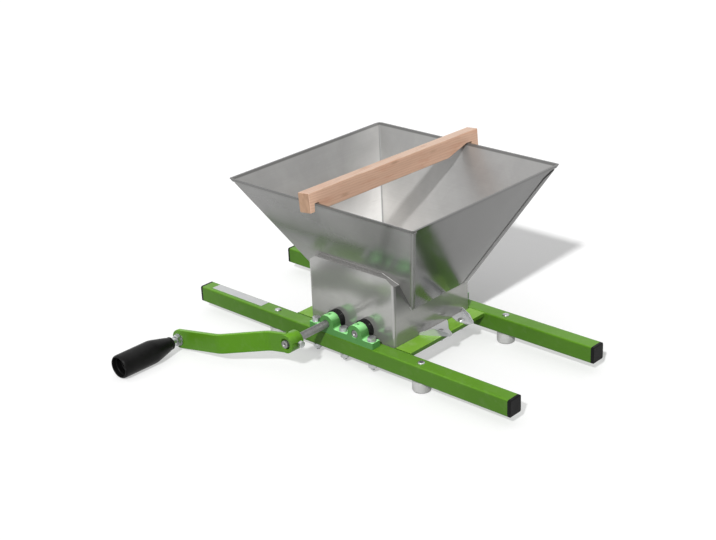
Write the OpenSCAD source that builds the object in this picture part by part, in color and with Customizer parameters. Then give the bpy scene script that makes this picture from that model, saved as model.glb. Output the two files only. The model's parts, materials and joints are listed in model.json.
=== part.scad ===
// Hand-cranked apple scratter: a sheet hopper over two toothed rollers,
// carried by a frame of two square-tube rails that lies across a vat.
// X runs along the rails, -Y is the crank side, Z is up. Lengths in millimetres.

/* [Frame] */
// Length of each rail tube without its end caps
rail_len = 516; // [440:2:600]
// Side of the square rail tube
tube_w = 22; // [20:0.5:26]
// Wall of the rail tube
tube_wall = 1.5; // [1:0.1:2.5]
// Depth of the frame over both rails
frame_w = 190; // [184:1:204]
// Thickness of the head of an end cap
cap_t = 4; // [2:0.5:8]
// Width of each flat crossbar
cross_w = 24.5; // [22:0.5:32]
// Thickness of each flat crossbar
cross_t = 5; // [3:0.5:7]
// Distance of each foot from the middle of its rail
foot_x = 122; // [100:1:180]
// Diameter of a foot
foot_d = 23.5; // [20:0.5:30]
// Height of a foot
foot_h = 14.8; // [11:0.2:24]

/* [Hopper] */
// Width of the hopper at its rim
rim_w = 298; // [240:2:340]
// Depth of the hopper at its rim
rim_d = 279; // [220:1:296]
// Height of the rim above the rail tops
rim_z = 189; // [150:1:230]
// Thickness of the hopper and housing sheet
sheet = 1.2; // [0.8:0.1:2]
// Height of the folded hem round the rim
hem_h = 4.5; // [3:0.5:8]
// Width of the lap at each corner seam
lap_w = 10; // [6:0.5:16]

/* [Housing] */
// Width of the housing under the hopper
box_w = 143; // [128:1:160]
// Depth of the gear space
gear_space = 34; // [26:1:40]
// Height of the housing walls above the rail tops
throat_z = 39; // [36:1:46]
// Depth of the gear cover's top flange
flange_d = 5.7; // [3:0.1:9]
// Reach of the housing walls below the rail tops
drop = 24; // [22:0.5:30]

/* [Rollers] */
// Distance between the two shafts
shaft_gap = 48; // [42:0.5:54]
// Height of the shafts above the rail tops
shaft_z = 13; // [12:0.5:15]
// Diameter of the shafts
shaft_d = 10; // [8:0.5:11]
// Number of teeth on each gear
gear_teeth = 24; // [20:2:32]
// Face width of the gears
gear_w = 14; // [8:1:18]
// Diameter of a roller core
core_d = 26; // [20:1:30]
// Gap between a disc's teeth and the other roller's core
disc_room = 5; // [2:0.5:8]
// Thickness of a roller disc
disc_t = 4; // [2:0.5:4.5]
// Pitch of the discs along a roller
disc_pitch = 12; // [11:0.5:16]

/* [Bearings] */
// Depth of a bearing block along the shafts
block_d = 14; // [12:0.5:20]
// Height of the base of a bearing block
block_h = 8.6; // [6:0.2:11]
// Outer radius of each shaft housing on a block
housing_r = 11.5; // [10:0.5:14]
// Outer diameter of a plain bush
bush_d = 14; // [13:0.5:16]

/* [Crank] */
// Distance from the rail to the front of the crank hub
hub_reach = 72.4; // [68:0.2:90]
// Diameter of the crank hub
hub_d = 24; // [20:0.5:30]
// Length of the crank hub
hub_len = 20; // [16:0.5:26]
// Distance from the shaft to the grip's spindle
crank_r = 173; // [140:1:200]
// Width of the crank arm
arm_w = 25; // [20:0.5:30]
// Thickness of the crank arm
arm_t = 6; // [4:0.5:8]
// Outward step of the crank arm
arm_step = 29.4; // [15:0.2:36]
// Height of the grip above the floor at rest
grip_clear = 0.4; // [0.3:0.1:20]
// Length of the grip
grip_len = 86.2; // [70:0.1:110]
// Diameter of the grip's open end
grip_d = 31; // [25:0.5:32]
// Diameter of the grip's small end
grip_small_d = 17; // [14:0.5:20]

/* [Pusher] */
// Thickness of the pusher bar
pusher_t = 14; // [10:0.5:20]
// Height of the pusher bar above the rim
pusher_up = 15.5; // [10:0.5:24]
// Depth of the hooks of the pusher bar below the rim
pusher_hook = 10.5; // [8:0.5:18]
// Place of the pusher bar along the rim, from the middle
pusher_x = -3.5; // [-40:0.5:40]
// Turn of the pusher bar as it lies on the rim
pusher_yaw = 1.4; // [0:0.1:2]

/* [Hidden] */
// clearances
fixed_fit = 0.02; // radial gap of parts that are fixed together
run_fit = 0.05; // radial gap of a turning shaft in its bush
seat_gap = 0.3; // gap between moving faces
lift_gap = 0.2; // gap under the pusher bar
bolt_play = 0.3; // radial gap of a bolt in its hole
cut = 1; // overrun of every cut

// frame details
tube_r = 2.5;
cap_edge = 1.2;
plug_len = 12;
plug_play = 0.1;
foot_edge = 3;
foot_nut_room = 8;
foot_bolt_d = 5;
foot_bolt_head_d = 9;
foot_bolt_head_h = 2.2;
foot_nut_af = 8;
foot_nut_h = 4;
foot_room_d = 13;
label_room = 26.5;
label_w = 13.7;
label_in = 1.7;
label_t = 0.3;
label_end = 14.5;

// hopper and housing details
bend_r = 5;
seam_r = 0.6;
hem_t = 1.6;
lap_gap = 2;
lap_cut = 9;
rear_gap = 3;
cover_bend_r = 4;
lip_h = 5;
corner_cut_x = 12;
corner_cut_z = 8;
ear_reach = 33.5;
ear_len = 54;
ear_fold_h = 10;
ear_front_shares = [[0, 0], [1, 0.37], [0.94, 0.5], [0.58, 0.64], [0.12, 0.96], [0, 1]];
ear_rear_shares = [[0, 0], [1, 0.37], [0.95, 0.46], [0.75, 0.52], [0.36, 0.52], [0, 0.42]];
front_fold_shares = [[0, 0], [1, 0], [1, 0.45], [0.47, 1], [0, 0.3]];
rear_fold_shares = [[0, 0], [1, 0], [1, 0.3], [0.6, 0.75], [0, 0.6]];
ear_place = 43.5;
ear_bolt_in = 16;
ear_bolt_y = 20;
ear_bolt_d = 5;
ear_head_d = 9;
ear_head_h = 2.6;
ear_nut_af = 8;
ear_nut_h = 4;
ear_bolt_tip = 2.5;
shaft_room = 1;

// bearing details
bolt_gap = 11.5;
block_end = 6.5;
bolt_inset = 6.5;
block_fillet_r = 3.5;
block_lip = 2;
lip_play = 0.4;
bolt_d = 6;
bolt_af = 10;
bolt_head_h = 4;
washer_d = 11.8;
washer_t = 1.2;
nut_h = 6;
bolt_tip = 3;
oil_d = 3;
gear_backlash = 0.4;
gear_pressure = 20;
disc_teeth = 6;
disc_root_share = 0.74;
end_room = 0.6;

// crank details
hub_proud = 2;
hub_room_d = 15;
hub_room_len = 4;
shaft_stand = 2;
joggle_start = 32.7;
joggle_run = 62.3;
screw_d = 5;
screw_af = 8;
screw_head_h = 4;
screw_turn = 11;
screw_stand = 2;
spindle_d = 8;
spindle_nut_af = 13;
spindle_nut_h = 5.5;
spindle_back_nut_h = 5;
spindle_washer_d = 16;
spindle_washer_t = 1.4;
spindle_head_d = 14;
spindle_head_h = 4;
grip_gap = 13.3;
grip_cone = 32;
grip_rim_r = 3;
grip_small_r = 1.5;
grip_wall = 2.6;
grip_bore_len = 42;

// pusher details
hook_gap = 3.4;
hook_len = 10.7;
bar_shift = 2.6;
end_skew = 17.5;
end_lean = 5;
notch_in = 3.5;
near_chamfer = 8;
far_chamfer = 36;

// derived places, with zero height at the rail tops and y = 0 mid frame
floor_h = tube_w + foot_h;
label_len = rail_len / 2 - label_end - foot_x - label_room;
label_x = foot_x + label_room + label_len / 2;
rail_y = (frame_w - tube_w) / 2;
rail_in = frame_w / 2 - tube_w;
box_x = box_w / 2;
cover_y = -rail_in;
gear_wall_y = cover_y + gear_space;
rear_wall_y = rail_in - rear_gap;
throat_y = (gear_wall_y + rear_wall_y) / 2;
throat_half = (rear_wall_y - gear_wall_y) / 2;
front_lean = (rim_d / 2 - throat_half) / (rim_z - throat_z);
cover_z = throat_z + (gear_space - flange_d) / front_lean;
shaft_x = shaft_gap / 2;
block_y = frame_w / 2 - block_d / 2;
block_front = -frame_w / 2;
block_back = block_front + block_d;
bolt_x = shaft_x + housing_r + bolt_gap;
bolt_y = frame_w / 2 - bolt_inset;
block_len = 2 * (bolt_x + block_end);
bolt_places = [-bolt_x, 0, bolt_x];
seal_r = shaft_z - seat_gap;
front_seal_len = frame_w / 2 - block_d + cover_y;
rear_seal_len = frame_w / 2 - block_d - rear_wall_y;
gear_mod = shaft_gap / gear_teeth;
gear_y = (cover_y + sheet + gear_wall_y) / 2;
roller_room = rear_wall_y - gear_wall_y - 2 * sheet;
core_len = roller_room - 2 * end_room;
disc_count = 2 * floor(((core_len - disc_t) / disc_pitch) / 2) + 1;
disc_r = shaft_gap - core_d / 2 - disc_room;
hub_front = -frame_w / 2 - hub_reach;
crank_angle = asin((shaft_z + floor_h - grip_d / 2 - grip_clear) / crank_r);
arm_end = crank_r + arm_w / 2;
arm_root = hub_front + hub_proud;
arm_front = arm_root - arm_step;
grip_start = arm_front - grip_gap;
grip_end = grip_start - grip_len;
pusher_half = rim_d / 2 + hem_t + hook_gap + hook_len;
bar_mid_z = rim_z + (pusher_up - pusher_hook) / 2;
bar_h = pusher_up + pusher_hook;
lean_reach = bar_h / 2 * tan(end_lean) / cos(end_skew);
skew_reach = pusher_t / 2 * tan(end_skew);
pusher_reach = (pusher_half + lean_reach) * cos(pusher_yaw)
    + abs(skew_reach * cos(pusher_yaw) - pusher_t / 2 * sin(pusher_yaw));
bar_y = throat_y + bar_shift;
bar_span = 2 * pusher_half;
frame_y = -(grip_end + bar_y + pusher_reach) / 2;

green = [0.36, 0.58, 0.12];
block_green = [0.33, 0.62, 0.30];
steel = [0.60, 0.60, 0.58];
zinc = [0.75, 0.76, 0.78];
dark = [0.06, 0.06, 0.07];
grey = [0.72, 0.72, 0.74];
wood = [0.82, 0.70, 0.62];

// moves the frame's own place to the part's origin
module at_frame() {
    translate([0, frame_y, floor_h]) children();
}

// both ends of a pair that mirror each other across X
module both_x() {
    children();
    mirror([1, 0, 0]) children();
}

// both rails' copies of a piece
module both_y() {
    children();
    mirror([0, 1, 0]) children();
}

module rounded_square(w, d, r) {
    square([w, d - 2 * r], center = true);
    square([w - 2 * r, d], center = true);
    for (x = [-1, 1], y = [-1, 1]) {
        translate([x * (w / 2 - r), y * (d / 2 - r)]) circle(r = r, $fn = 32);
    }
}

module hex_prism(af, h) {
    cylinder(d = af / cos(30), h = h, $fn = 6);
}

// lays a shape drawn in (x, z) along Y, from y0 over len towards +Y
module along_y(y0, len) {
    translate([0, y0 + len, 0]) rotate([90, 0, 0]) linear_extrude(len) children();
}

// lays a shape drawn in (y, z) along X, centred
module along_x(len) {
    rotate([90, 0, 90]) linear_extrude(len, center = true) children();
}

// a solid rod along Y between two y values
module rod_y(y0, y1, d) {
    translate([0, y1, 0]) rotate([90, 0, 0]) cylinder(d = d, h = y1 - y0, $fn = 64);
}

module rail_tube() {
    difference() {
        translate([0, -rail_y, -tube_w / 2]) {
            along_x(rail_len) difference() {
                rounded_square(tube_w, tube_w, tube_r);
                rounded_square(tube_w - 2 * tube_wall, tube_w - 2 * tube_wall, tube_r - tube_wall);
            }
        }
        for (x = bolt_places) {
            translate([x, -bolt_y, -tube_w - cut]) {
                cylinder(d = bolt_d + 2 * bolt_play, h = tube_w + 2 * cut, $fn = 48);
            }
        }
        for (x = [-foot_x, foot_x]) {
            translate([x, -rail_y, -tube_w - cut]) {
                cylinder(d = foot_bolt_d + 2 * bolt_play, h = tube_w + 2 * cut, $fn = 48);
            }
        }
    }
}

module front_rail() {
    color(green) at_frame() rail_tube();
}

module rear_rail() {
    color(green) at_frame() mirror([0, 1, 0]) rail_tube();
}

module end_cap() {
    inner = tube_w - 2 * tube_wall - 2 * plug_play;
    face = tube_w - 2 * cap_edge;
    translate([rail_len / 2, -rail_y, -tube_w / 2]) rotate([90, 0, 90]) {
        linear_extrude(cap_t - cap_edge) rounded_square(tube_w, tube_w, tube_r);
        hull() {
            translate([0, 0, cap_t - cap_edge]) linear_extrude(cap_edge / 4) {
                rounded_square(tube_w, tube_w, tube_r);
            }
            translate([0, 0, cap_t - cap_edge / 4]) linear_extrude(cap_edge / 4) {
                rounded_square(face, face, tube_r - cap_edge);
            }
        }
        translate([0, 0, -plug_len]) linear_extrude(plug_len) {
            square([inner, inner], center = true);
        }
    }
}

module rail_end_caps() {
    color(dark) at_frame() both_x() both_y() end_cap();
}

module crossbar() {
    difference() {
        translate([box_x, -rail_in, -cross_t]) cube([cross_w, 2 * rail_in, cross_t]);
        for (y = [-ear_bolt_y, ear_bolt_y]) {
            translate([box_x + ear_bolt_in, throat_y + y, -cross_t - cut]) {
                cylinder(d = ear_bolt_d + 2 * bolt_play, h = cross_t + 2 * cut, $fn = 48);
            }
        }
    }
}

module left_crossbar() {
    color(green) at_frame() mirror([1, 0, 0]) crossbar();
}

module right_crossbar() {
    color(green) at_frame() crossbar();
}

module at_feet() {
    both_x() both_y() translate([foot_x, -rail_y, 0]) children();
}

module foot() {
    r = foot_d / 2;
    translate([0, 0, -floor_h]) difference() {
        rotate_extrude($fn = 64) {
            square([r - foot_edge, foot_h]);
            translate([0, foot_edge]) square([r, foot_h - foot_edge]);
            translate([r - foot_edge, foot_edge]) circle(r = foot_edge, $fn = 32);
        }
        translate([0, 0, -cut]) {
            cylinder(d = foot_room_d, h = foot_nut_room + cut, $fn = 48);
            cylinder(d = foot_bolt_d + 2 * bolt_play, h = foot_h + 2 * cut, $fn = 48);
        }
    }
}

module feet() {
    color(grey) at_frame() at_feet() foot();
}

module foot_bolt() {
    reach = floor_h - foot_nut_room + foot_nut_h;
    translate([0, 0, -reach]) cylinder(d = foot_bolt_d, h = reach, $fn = 48);
    cylinder(d = foot_bolt_head_d, h = foot_bolt_head_h / 2, $fn = 48);
    translate([0, 0, foot_bolt_head_h / 2]) {
        cylinder(d1 = foot_bolt_head_d, d2 = foot_bolt_head_d / 2, h = foot_bolt_head_h / 2, $fn = 48);
    }
}

module foot_bolts() {
    color(zinc) at_frame() at_feet() foot_bolt();
}

module foot_nuts() {
    color(zinc) at_frame() at_feet() {
        translate([0, 0, -floor_h + foot_nut_room - foot_nut_h]) difference() {
            hex_prism(foot_nut_af, foot_nut_h);
            translate([0, 0, -cut]) {
                cylinder(d = foot_bolt_d + 2 * fixed_fit, h = foot_nut_h + 2 * cut, $fn = 48);
            }
        }
    }
}

module blank_label() {
    color("white") at_frame() translate([-label_x, label_in - rail_y, 0]) {
        linear_extrude(label_t) square([label_len, label_w], center = true);
    }
}

module block_profile() {
    translate([-block_len / 2, 0]) square([block_len, block_h]);
    for (x = [-shaft_x, shaft_x]) {
        translate([x - housing_r, 0]) square([2 * housing_r, shaft_z]);
        intersection() {
            translate([x, shaft_z]) circle(r = housing_r, $fn = 64);
            translate([x - housing_r, 0]) square([2 * housing_r, shaft_z + housing_r]);
        }
        for (side = [-1, 1]) {
            translate([x + side * housing_r, block_h]) mirror([side < 0 ? 1 : 0, 0]) difference() {
                translate([-cut, -cut]) square(block_fillet_r + cut);
                translate([block_fillet_r, block_fillet_r]) circle(r = block_fillet_r, $fn = 48);
            }
        }
    }
}

module bearing_block() {
    difference() {
        along_y(block_front, block_d) block_profile();
        for (x = [-shaft_x, shaft_x]) {
            translate([x, 0, shaft_z]) {
                rod_y(block_front + block_lip, block_back + cut, bush_d + 2 * fixed_fit);
                rod_y(block_front - cut, block_back, shaft_d + 2 * lip_play);
            }
            translate([x, -block_y, shaft_z]) {
                cylinder(d = oil_d, h = housing_r + cut, $fn = 32);
            }
        }
        for (x = bolt_places) {
            translate([x, -bolt_y, -cut]) {
                cylinder(d = bolt_d + 2 * bolt_play, h = block_h + 2 * cut, $fn = 48);
            }
        }
    }
}

module front_bearing_block() {
    color(block_green) at_frame() bearing_block();
}

module rear_bearing_block() {
    color(block_green) at_frame() mirror([0, 1, 0]) bearing_block();
}

module shaft_bushes() {
    color("darkkhaki") at_frame() both_y() {
        for (x = [-shaft_x, shaft_x]) {
            translate([x, 0, shaft_z]) difference() {
                rod_y(block_front + block_lip, block_back, bush_d);
                rod_y(block_front - cut, block_back + cut, shaft_d + 2 * run_fit);
            }
        }
    }
}

module at_block_bolts() {
    both_y() {
        for (x = bolt_places) {
            translate([x, -bolt_y, 0]) children();
        }
    }
}

module bearing_bolts() {
    top = block_h + washer_t;
    reach = top + tube_w + nut_h + bolt_tip;
    color(zinc) at_frame() at_block_bolts() {
        translate([0, 0, top]) hex_prism(bolt_af, bolt_head_h);
        translate([0, 0, top - reach]) cylinder(d = bolt_d, h = reach, $fn = 48);
    }
}

module bearing_washers() {
    color(zinc) at_frame() at_block_bolts() {
        translate([0, 0, block_h]) difference() {
            cylinder(d = washer_d, h = washer_t, $fn = 48);
            translate([0, 0, -cut]) {
                cylinder(d = bolt_d + 2 * bolt_play, h = washer_t + 2 * cut, $fn = 48);
            }
        }
    }
}

module bearing_nuts() {
    color(zinc) at_frame() at_block_bolts() {
        translate([0, 0, -tube_w - nut_h]) difference() {
            hex_prism(bolt_af, nut_h);
            translate([0, 0, -cut]) {
                cylinder(d = bolt_d + 2 * fixed_fit, h = nut_h + 2 * cut, $fn = 48);
            }
        }
    }
}

module seal_ring(y0, len) {
    difference() {
        rod_y(y0, y0 + len, 2 * seal_r);
        rod_y(y0 - cut, y0 + len + cut, shaft_d + 2 * shaft_room);
    }
}

module shaft_seals() {
    color(dark) at_frame() {
        for (x = [-shaft_x, shaft_x]) {
            translate([x, 0, shaft_z]) {
                seal_ring(cover_y - front_seal_len, front_seal_len);
                seal_ring(rear_wall_y, rear_seal_len);
            }
        }
    }
}

// holes for both shafts through a wall at y0
module shaft_holes(y0, len) {
    for (x = [-shaft_x, shaft_x]) {
        translate([x, 0, shaft_z]) rod_y(y0 - cut, y0 + len + cut, shaft_d + 2 * shaft_room);
    }
}

// y of the hopper's front face at height z
function front_y(z) = throat_y - half_y(z);

module cover_plan(inset) {
    r = cover_bend_r - inset;
    x = box_x - inset;
    y0 = cover_y + inset;
    translate([-x, y0 + r]) square([2 * x, gear_wall_y - y0 - r]);
    translate([-x + r, y0]) square([2 * x - 2 * r, r]);
    for (side = [-1, 1]) {
        translate([side * (x - r), y0 + r]) circle(r = r, $fn = 48);
    }
}

module gear_cover() {
    side = [[cover_y - cut, -drop], [gear_wall_y, -drop], [gear_wall_y, throat_z],
        [front_y(cover_z), cover_z], [cover_y - cut, cover_z]];
    flange = [[cover_y, cover_z - sheet], [front_y(cover_z - sheet), cover_z - sheet],
        [front_y(cover_z), cover_z], [front_y(cover_z + lip_h), cover_z + lip_h],
        [front_y(cover_z + lip_h) - sheet, cover_z + lip_h], [front_y(cover_z) - sheet, cover_z],
        [cover_y, cover_z]];
    corner_in = [box_x - 2 * corner_cut_x, cover_z + corner_cut_z];
    corner_out = [box_x + corner_cut_x, cover_z - 2 * corner_cut_z];
    corner = [corner_in, [corner_out[0], corner_in[1]], corner_out];
    under = -sheet * [corner_cut_z, corner_cut_x] / norm([corner_cut_z, corner_cut_x]);
    facet = [corner_in, corner_out, corner_out + under, corner_in + under];
    color(steel) at_frame() difference() {
        union() {
            intersection() {
                translate([0, 0, -drop]) linear_extrude(cover_z + drop) difference() {
                    cover_plan(0);
                    difference() {
                        cover_plan(sheet);
                        translate([-box_x, gear_wall_y]) square([box_w, cut]);
                    }
                }
                along_x(box_w + cut) polygon(side);
            }
            intersection() {
                translate([0, 0, -drop]) linear_extrude(cover_z + drop) cover_plan(0);
                along_x(box_w + cut) polygon(side);
                both_x() along_y(cover_y - cut, gear_space + cut) polygon(facet);
            }
            along_x(box_w - 2 * cover_bend_r) polygon(flange);
        }
        shaft_holes(cover_y, sheet);
        both_x() along_y(cover_y - cut, gear_space + cut) polygon(corner);
    }
}

module cross_wall(y0) {
    difference() {
        translate([-box_x + sheet, y0, -drop]) cube([box_w - 2 * sheet, sheet, drop + throat_z]);
        shaft_holes(y0, sheet);
    }
}

module gear_wall() {
    color(steel) at_frame() cross_wall(gear_wall_y);
}

module throat_rear_wall() {
    color(steel) at_frame() cross_wall(rear_wall_y - sheet);
}

function scaled(shares, w, h) = [for (p = shares) [p[0] * w, p[1] * h]];

// a flat ear with an upturned fold along its outer diagonal
module ear(shares, fold_shares) {
    flat = scaled(shares, ear_reach, ear_len);
    tip = flat[1];
    difference() {
        translate([0, -ear_place, 0]) {
            linear_extrude(sheet) polygon(flat);
            rotate([0, 0, atan2(tip[1], tip[0])]) along_y(0, sheet) {
                polygon(scaled(fold_shares, norm(tip), ear_fold_h));
            }
        }
        translate([ear_bolt_in, -ear_bolt_y, -cut]) {
            cylinder(d = ear_bolt_d + 2 * bolt_play, h = sheet + 2 * cut, $fn = 48);
        }
    }
}

module throat_side() {
    translate([box_x - sheet, gear_wall_y, -drop]) {
        cube([sheet, 2 * throat_half, drop + throat_z]);
    }
    translate([box_x, throat_y, 0]) {
        ear(ear_front_shares, front_fold_shares);
        mirror([0, 1, 0]) ear(ear_rear_shares, rear_fold_shares);
    }
}

module throat_left_wall() {
    color(steel) at_frame() mirror([1, 0, 0]) throat_side();
}

module throat_right_wall() {
    color(steel) at_frame() throat_side();
}

module at_ear_bolts() {
    both_x() {
        for (y = [-ear_bolt_y, ear_bolt_y]) {
            translate([box_x + ear_bolt_in, throat_y + y, 0]) children();
        }
    }
}

module ear_bolts() {
    reach = sheet + cross_t + ear_nut_h + ear_bolt_tip;
    color(zinc) at_frame() at_ear_bolts() {
        translate([0, 0, sheet]) {
            cylinder(d = ear_head_d, h = ear_head_h / 2, $fn = 48);
            translate([0, 0, ear_head_h / 2]) {
                cylinder(d1 = ear_head_d, d2 = ear_head_d / 2, h = ear_head_h / 2, $fn = 48);
            }
        }
        translate([0, 0, sheet - reach]) cylinder(d = ear_bolt_d, h = reach, $fn = 48);
    }
}

module ear_nuts() {
    color(zinc) at_frame() at_ear_bolts() {
        translate([0, 0, -cross_t - ear_nut_h]) difference() {
            hex_prism(ear_nut_af, ear_nut_h);
            translate([0, 0, -cut]) {
                cylinder(d = ear_bolt_d + 2 * fixed_fit, h = ear_nut_h + 2 * cut, $fn = 48);
            }
        }
    }
}

// half width and half depth of the funnel at height z
function half_x(z) = box_x + (z - throat_z) * (rim_w / 2 - box_x) / (rim_z - throat_z);
function half_y(z) = throat_half + (z - throat_z) * (rim_d / 2 - throat_half) / (rim_z - throat_z);

// outline at height z, grown by g, as points with rounded corners
bend_steps = 6;
corner_signs = [[-1, -1], [1, -1], [1, 1], [-1, 1]];
function corner_r(i, g) = max(seam_r, (i % 2 == 0 ? seam_r : bend_r) + g);
function outline(z, g) = [for (i = [0:3], k = [0:bend_steps])
    let (r = corner_r(i, g), s = corner_signs[i], a = 180 + 90 * i + 90 * k / bend_steps)
    [s[0] * (half_x(z) + g - r) + r * cos(a), s[1] * (half_y(z) + g - r) + r * sin(a), z]];

// solid funnel between two heights, grown by g
module funnel(z0, z1, g) {
    low = outline(z0, g);
    high = outline(z1, g);
    n = len(low);
    faces = concat(
        [[for (i = [0:n - 1]) i]],
        [[for (i = [0:n - 1]) 2 * n - 1 - i]],
        [for (i = [0:n - 1]) [i, n + i, n + (i + 1) % n, (i + 1) % n]]);
    polyhedron(points = concat(low, high), faces = faces);
}

// the space of one bent sheet: the front wall, and the right wall up to the rear one
module sheet_space() {
    z0 = throat_z - 2 * cut;
    z1 = rim_z + 2 * cut;
    far = rim_w + rim_d;
    along_x(far) polygon([[-far, z0], [sheet - half_y(z0), z0], [sheet - half_y(z1), z1], [-far, z1]]);
    intersection() {
        along_x(far) polygon([[-far, z0], [half_y(z0) - sheet, z0], [half_y(z1) - sheet, z1], [-far, z1]]);
        along_y(-far, 2 * far) {
            polygon([[half_x(z0) - sheet, z0], [far, z0], [far, z1], [half_x(z1) - sheet, z1]]);
        }
    }
}

// strip along the front left seam, in (y, z), with its top end cut at a slant
module lap_side() {
    top = rim_z - hem_h - lap_gap;
    polygon([[-half_y(throat_z), throat_z], [lap_w - half_y(throat_z), throat_z],
        [lap_w - half_y(top - lap_cut), top - lap_cut], [-half_y(top), top]]);
}

// front and right walls with a bend between them, and a lap over the left wall
module hopper_sheet() {
    hem_z = rim_z - hem_h;
    difference() {
        union() {
            intersection() {
                union() {
                    funnel(throat_z, rim_z, 0);
                    funnel(hem_z, rim_z, hem_t);
                }
                sheet_space();
            }
            intersection() {
                funnel(throat_z, hem_z - lap_gap, sheet);
                along_x(rim_w + rim_d) lap_side();
                translate([-rim_w, -rim_d, 0]) cube([rim_w, 2 * rim_d, rim_z]);
            }
        }
        funnel(throat_z - cut, rim_z + cut, -sheet);
        intersection() {
            funnel(throat_z - cut, rim_z + cut, 0);
            rotate([0, 0, 180]) sheet_space();
        }
    }
}

module hopper_front_sheet() {
    color(steel) at_frame() translate([0, throat_y, 0]) hopper_sheet();
}

module hopper_rear_sheet() {
    color(steel) at_frame() translate([0, throat_y, 0]) rotate([0, 0, 180]) hopper_sheet();
}

function involute(a) = tan(a) * 180 / PI - a;
gear_pitch_r = shaft_gap / 2;
gear_base_r = gear_pitch_r * cos(gear_pressure);
gear_tip_r = gear_pitch_r + gear_mod;
gear_root_r = gear_pitch_r - 1.25 * gear_mod;
flank_shares = [0, 0.25, 0.5, 0.75, 1];
function half_tooth(r) = 90 / gear_teeth - gear_backlash / 4 / gear_pitch_r * 180 / PI
    + involute(gear_pressure) - involute(acos(gear_base_r / r));
function flank_r(s) = gear_base_r + s * (gear_tip_r - gear_base_r);
function polar(r, a) = [r * cos(a), r * sin(a)];

module gear_outline() {
    root_a = half_tooth(gear_base_r);
    polygon([for (i = [0:gear_teeth - 1]) let (a = 360 * i / gear_teeth) each concat(
        [polar(gear_root_r, a - root_a)],
        [for (s = flank_shares) polar(flank_r(s), a - half_tooth(flank_r(s)))],
        [for (k = [len(flank_shares) - 1:-1:0]) let (r = flank_r(flank_shares[k])) polar(r, a + half_tooth(r))],
        [polar(gear_root_r, a + root_a)])]);
}

module at_drive() {
    at_frame() translate([-shaft_x, 0, shaft_z]) children();
}

module at_driven() {
    at_frame() translate([shaft_x, 0, shaft_z]) children();
}

module gear(turn) {
    along_y(gear_y - gear_w / 2, gear_w) difference() {
        rotate(turn) gear_outline();
        circle(r = shaft_d / 2 + fixed_fit, $fn = 64);
    }
}

module roller_core() {
    difference() {
        rod_y(throat_y - core_len / 2, throat_y + core_len / 2, core_d);
        rod_y(throat_y - core_len / 2 - cut, throat_y + core_len / 2 + cut, shaft_d + 2 * fixed_fit);
    }
}

disc_steps = 4;
module disc_outline() {
    tip = disc_r;
    root = tip * disc_root_share;
    step = 360 / disc_teeth;
    polygon([for (i = [0:disc_teeth - 1], k = [0:disc_steps])
        polar(root + (tip - root) * k / disc_steps, step * (i + k / disc_steps * (1 - 0.04)))]);
}

module roller_discs(count) {
    for (k = [0:count - 1]) {
        y = throat_y + (k - (count - 1) / 2) * disc_pitch;
        along_y(y - disc_t / 2, disc_t) difference() {
            rotate(360 / disc_teeth / 3 * (k % 3)) disc_outline();
            circle(r = core_d / 2 + fixed_fit, $fn = 64);
        }
    }
}

module drive_shaft() {
    color(zinc) at_drive() rod_y(hub_front - shaft_stand, frame_w / 2, shaft_d);
}

module drive_gear() {
    color("dimgray") at_drive() gear(0);
}

module drive_core() {
    color(grey) at_drive() roller_core();
}

module drive_discs() {
    color(grey) at_drive() roller_discs(disc_count);
}

module driven_shaft() {
    color(zinc) at_driven() rod_y(-frame_w / 2, frame_w / 2, shaft_d);
}

module driven_gear() {
    color("dimgray") at_driven() gear(gear_teeth % 2 == 0 ? 180 / gear_teeth : 0);
}

module driven_core() {
    color(grey) at_driven() roller_core();
}

module driven_discs() {
    color(grey) at_driven() mirror([1, 0, 0]) roller_discs(disc_count - 1);
}

// the crank is drawn about its shaft, with the arm along -X
module at_crank() {
    at_drive() rotate([0, -crank_angle, 0]) children();
}

module at_screw() {
    mid = (hub_front + hub_room_len + hub_front + hub_len) / 2;
    rotate([0, 90 + screw_turn, 0]) translate([0, mid, 0]) children();
}

module crank_hub() {
    color(green) at_crank() difference() {
        rod_y(hub_front, hub_front + hub_len, hub_d);
        rod_y(hub_front - cut, hub_front + hub_len + cut, shaft_d + 2 * fixed_fit);
        rod_y(hub_front - cut, hub_front + hub_room_len, hub_room_d);
        at_screw() cylinder(d = screw_d + 2 * fixed_fit, h = hub_d, $fn = 48);
    }
}

module crank_arm() {
    joggle_end = joggle_start + joggle_run;
    k = arm_t * tan(atan(arm_step / joggle_run) / 2);
    plan = [[0, arm_root], [-joggle_start, arm_root], [-joggle_end, arm_front],
        [-arm_end, arm_front], [-arm_end, arm_front + arm_t], [-joggle_end - k, arm_front + arm_t],
        [-joggle_start - k, arm_root + arm_t], [0, arm_root + arm_t]];
    color(green) at_crank() difference() {
        intersection() {
            translate([0, 0, -arm_w]) linear_extrude(2 * arm_w) polygon(plan);
            along_y(arm_front - cut, arm_step + arm_t + 2 * cut) {
                translate([-crank_r, -arm_w / 2]) square([crank_r, arm_w]);
                translate([-crank_r, 0]) circle(r = arm_w / 2, $fn = 64);
            }
        }
        rod_y(arm_root - cut, arm_root + arm_t + cut, hub_d + 2 * fixed_fit);
        translate([-crank_r, 0, 0]) {
            rod_y(arm_front - cut, arm_front + arm_t + cut, spindle_d + 2 * fixed_fit);
        }
    }
}

module crank_set_screw() {
    color(zinc) at_crank() at_screw() {
        translate([0, 0, shaft_d / 2]) {
            cylinder(d = screw_d, h = (hub_d - shaft_d) / 2 + screw_stand, $fn = 48);
        }
        translate([0, 0, hub_d / 2 + screw_stand]) hex_prism(screw_af, screw_head_h);
    }
}

module at_grip() {
    at_crank() translate([-crank_r, 0, 0]) children();
}

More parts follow.
